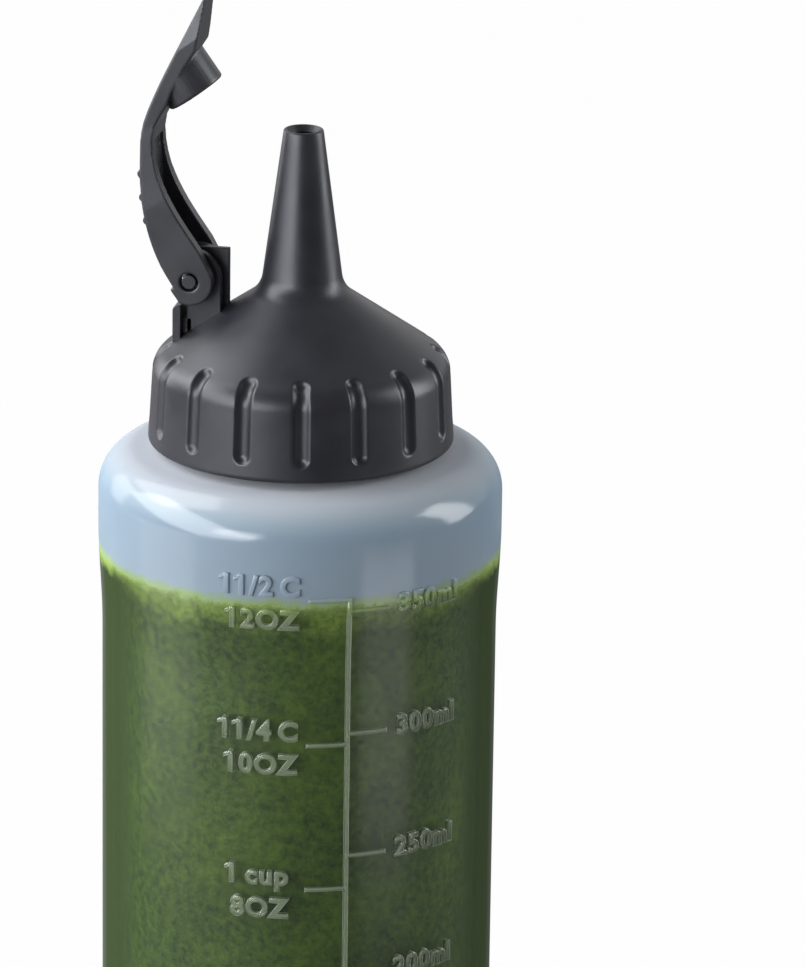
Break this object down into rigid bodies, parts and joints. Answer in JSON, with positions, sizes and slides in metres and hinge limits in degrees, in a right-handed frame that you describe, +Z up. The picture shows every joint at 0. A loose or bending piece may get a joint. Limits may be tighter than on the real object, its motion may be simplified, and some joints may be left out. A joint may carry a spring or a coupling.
{
  "type": "dosing bottle",
  "caption": "Translucent squeeze bottle of green sauce with a raised volume scale, a black grooved screw cap, a long pouring nozzle and a hinged closing lever.",
  "frame": {"origin": "centre of the base, on the surface the bottle stands on", "axes": "+Z up along the bottle, -X towards the closing lever's hinge, -Y the front"},
  "size_m": [0.0606, 0.0606, 0.2237],
  "materials": {
    "bottle_plastic": "milky translucent",
    "sauce": "wet, finely flecked",
    "seal_rubber": "matt",
    "cap_plastic": "fine satin texture"
  },
  "bodies": {
    "bottle": {"bottle": "bottle_plastic", "sauce": "sauce"},
    "seal": {"sealing_ring": "seal_rubber"},
    "cap": {"screw_cap": "cap_plastic"},
    "lever": {"closing_lever": "cap_plastic"}
  },
  "joints": [
    {"name": "cap_lift", "type": "slide", "parent": "bottle", "child": "seal", "axis": [0, 0, 1], "range_m": [0, 0.006]},
    {"name": "cap_turn", "type": "hinge", "parent": "seal", "child": "cap", "pos_m": [0, 0, 0.16], "axis": [0, 0, 1], "range_deg": [0, 540]},
    {"name": "lever_hinge", "type": "hinge", "parent": "cap", "child": "lever", "pos_m": [-0.0162, 0, 0.1795], "axis": [0, -1, 0], "range_deg": [-35.5, 74]}
  ],
  "couplings": [
    {"joint": "cap_lift", "follows": "cap_turn", "m_per_rad": 0.00063662}
  ]
}
